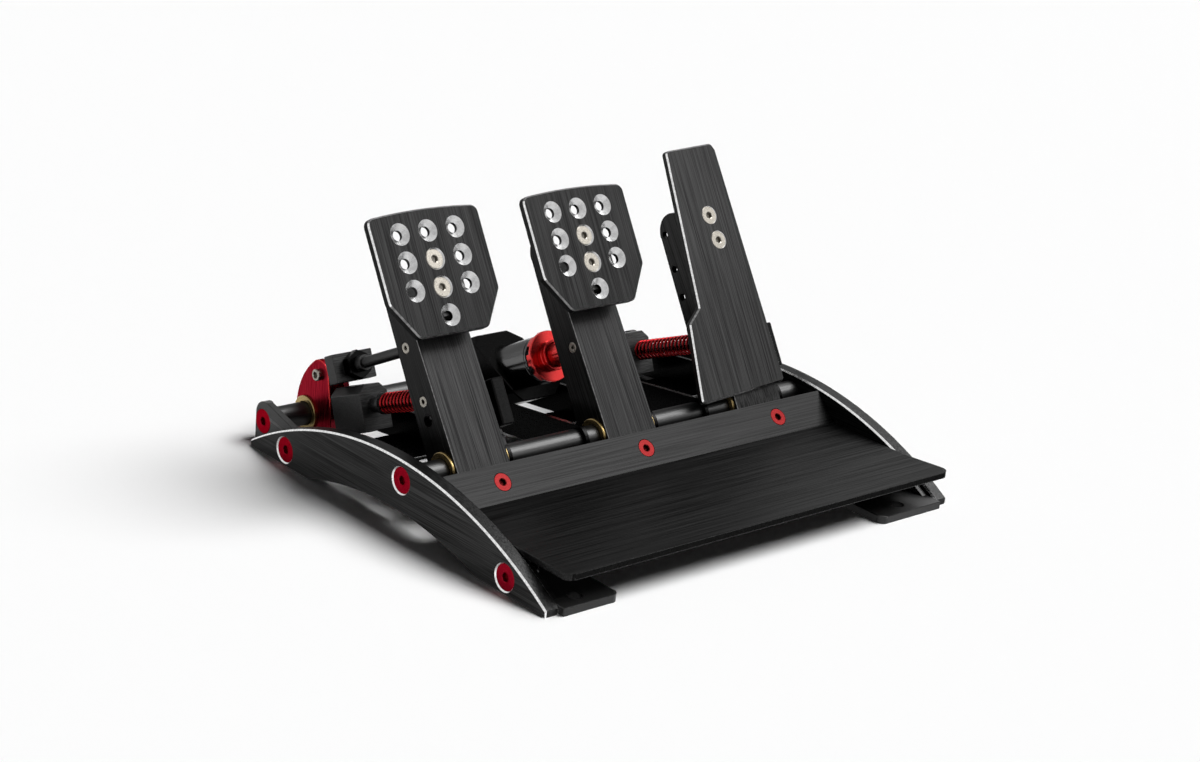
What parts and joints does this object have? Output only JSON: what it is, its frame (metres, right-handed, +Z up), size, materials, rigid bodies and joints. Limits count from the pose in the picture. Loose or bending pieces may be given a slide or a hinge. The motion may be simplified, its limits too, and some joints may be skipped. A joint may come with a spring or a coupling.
{
  "type": "sim racing pedal set",
  "caption": "Free-standing clutch, brake and throttle pedals on a low frame with arched side plates, a bent heel plate, spring and load-cell struts behind the arms.",
  "frame": {"origin": "middle of the footprint, on the floor", "axes": "+X to the throttle side, +Y from the driver to the rear, +Z up"},
  "size_m": [0.332, 0.3018, 0.184],
  "materials": {
    "black_anodised": "brushed black anodised aluminium with bright bare edges",
    "black_painted": "semi-gloss black paint on steel sheet",
    "heel_anodised": "black anodised sheet, brushed across",
    "shaft_black": "smooth black oxide steel",
    "red_anodised": "red anodised aluminium",
    "red_screw": "red coated steel screw",
    "red_spring": "gloss red coated spring wire",
    "bronze": "sintered bronze bush",
    "stainless": "stainless steel",
    "black_block": "black anodised machined block",
    "black_plastic": "fine-grained black plastic",
    "rubber_ring": "polyurethane rubber",
    "cell_steel": "ground steel"
  },
  "bodies": {
    "root": {"left_side_plate": "black_anodised", "right_side_plate": "black_anodised", "front_left_foot": "black_painted", "front_right_foot": "black_painted", "rear_left_foot": "black_painted", "rear_right_foot": "black_painted", "heel_plate": "heel_anodised", "pedal_axle": "shaft_black", "rear_shaft": "shaft_black", "side_plate_screws": "red_screw", "foot_clinch_nuts": "black_painted", "rear_shaft_screws": "red_screw", "heel_plate_screws": "red_screw", "clutch_bracket": "black_painted", "brake_bracket": "black_painted", "throttle_bracket": "black_painted", "clutch_sensor": "black_plastic", "clutch_sensor_screws": "stainless", "throttle_sensor": "black_plastic", "throttle_sensor_screws": "stainless"},
    "clutch_pedal": {"clutch_arm": "black_anodised", "clutch_pad_spacer": "black_block", "clutch_pad": "black_anodised", "clutch_pad_screws": "stainless", "clutch_bushes": "bronze", "clutch_pins": "stainless"},
    "clutch_lever": {"clutch_lever_left": "red_anodised", "clutch_lever_right": "red_anodised", "clutch_lever_bushes": "bronze", "clutch_lever_pin": "stainless"},
    "clutch_rod": {"clutch_push_rod": "black_painted", "clutch_rod_nut": "black_painted", "clutch_trunnion": "black_block"},
    "clutch_strut": {"clutch_spring_block": "black_block"},
    "clutch_guide": {"clutch_guide_rod": "stainless", "clutch_spring": "red_spring"},
    "brake_pedal": {"brake_arm": "black_anodised", "brake_pad_spacer": "black_block", "brake_pad": "black_anodised", "brake_pad_screws": "stainless", "brake_bushes": "bronze", "brake_arm_pin": "stainless", "brake_buzzer": "black_plastic"},
    "brake_strut": {"brake_housing": "black_block", "brake_cylinder": "black_block", "brake_load_cell": "cell_steel", "brake_rubbers": "rubber_ring"},
    "brake_plunger": {"brake_piston": "red_anodised"},
    "brake_knob": {"brake_adjuster": "red_anodised"},
    "throttle_pedal": {"throttle_arm": "black_anodised", "throttle_pad": "black_anodised", "throttle_pad_screws": "stainless", "throttle_bushes": "bronze", "throttle_arm_pin": "stainless", "throttle_buzzer": "black_plastic"},
    "throttle_strut": {"throttle_spring_block": "black_block"},
    "throttle_guide": {"throttle_guide_rod": "stainless", "throttle_spring": "red_spring"}
  },
  "joints": [
    {"name": "clutch_press", "type": "hinge", "parent": "root", "child": "clutch_pedal", "pos_m": [-0.115, -0.0142, 0.0318], "axis": [-1, 0, 0], "range_deg": [0, 15], "stiffness_Nm_per_rad": 12, "springref_deg": -17.19, "deforming": ["clutch_spring"]},
    {"name": "clutch_lever_swing", "type": "hinge", "parent": "root", "child": "clutch_lever", "pos_m": [-0.115, 0.1384, 0.0133], "axis": [-1, 0, 0], "range_deg": [0, 40]},
    {"name": "clutch_rod_swing", "type": "hinge", "parent": "clutch_pedal", "child": "clutch_rod", "pos_m": [-0.115, 0.03009, 0.09338], "axis": [-1, 0, 0], "range_deg": [-24, 0]},
    {"name": "clutch_strut_swing", "type": "hinge", "parent": "root", "child": "clutch_strut", "pos_m": [-0.115, 0.1384, 0.0133], "axis": [-1, 0, 0], "range_deg": [-2.5, 0]},
    {"name": "clutch_guide_swing", "type": "hinge", "parent": "clutch_pedal", "child": "clutch_guide", "pos_m": [-0.115, 0.01, 0.06643], "axis": [-1, 0, 0], "range_deg": [-18, 0]},
    {"name": "brake_press", "type": "hinge", "parent": "root", "child": "brake_pedal", "pos_m": [0.0026, -0.0142, 0.0318], "axis": [-1, 0, 0], "range_deg": [0, 8], "stiffness_Nm_per_rad": 60, "springref_deg": -4.58, "deforming": ["brake_rubbers"]},
    {"name": "brake_strut_swing", "type": "hinge", "parent": "root", "child": "brake_strut", "pos_m": [0.0026, 0.1384, 0.0133], "axis": [-1, 0, 0], "range_deg": [-1, 0]},
    {"name": "brake_plunger_swing", "type": "hinge", "parent": "brake_pedal", "child": "brake_plunger", "pos_m": [0.0026, 0.0138, 0.08058], "axis": [-1, 0, 0], "range_deg": [-9, 0]},
    {"name": "brake_adjuster_turn", "type": "hinge", "parent": "brake_strut", "child": "brake_knob", "pos_m": [0.0026, 0.0534, 0.0592], "axis": [0, 0.8799, -0.4751], "range_deg": [-180, 180]},
    {"name": "throttle_press", "type": "hinge", "parent": "root", "child": "throttle_pedal", "pos_m": [0.1132, -0.0142, 0.0318], "axis": [-1, 0, 0], "range_deg": [0, 15], "stiffness_Nm_per_rad": 8, "springref_deg": -14.32, "deforming": ["throttle_spring"]},
    {"name": "throttle_strut_swing", "type": "hinge", "parent": "root", "child": "throttle_strut", "pos_m": [0.1132, 0.1384, 0.0133], "axis": [-1, 0, 0], "range_deg": [-2.5, 0]},
    {"name": "throttle_guide_swing", "type": "hinge", "parent": "throttle_pedal", "child": "throttle_guide", "pos_m": [0.1132, 0.01, 0.06643], "axis": [-1, 0, 0], "range_deg": [-18, 0]}
  ],
  "couplings": [
    {"joint": "clutch_lever_swing", "follows": "clutch_press", "ratio": 2.5736},
    {"joint": "clutch_rod_swing", "follows": "clutch_press", "ratio": -1.5231},
    {"joint": "clutch_strut_swing", "follows": "clutch_press", "ratio": -0.11186},
    {"joint": "clutch_guide_swing", "follows": "clutch_press", "ratio": -1.1119},
    {"joint": "brake_strut_swing", "follows": "brake_press", "ratio": -0.040196},
    {"joint": "brake_plunger_swing", "follows": "brake_press", "ratio": -1.0402},
    {"joint": "throttle_strut_swing", "follows": "throttle_press", "ratio": -0.11186},
    {"joint": "throttle_guide_swing", "follows": "throttle_press", "ratio": -1.1119}
  ]
}
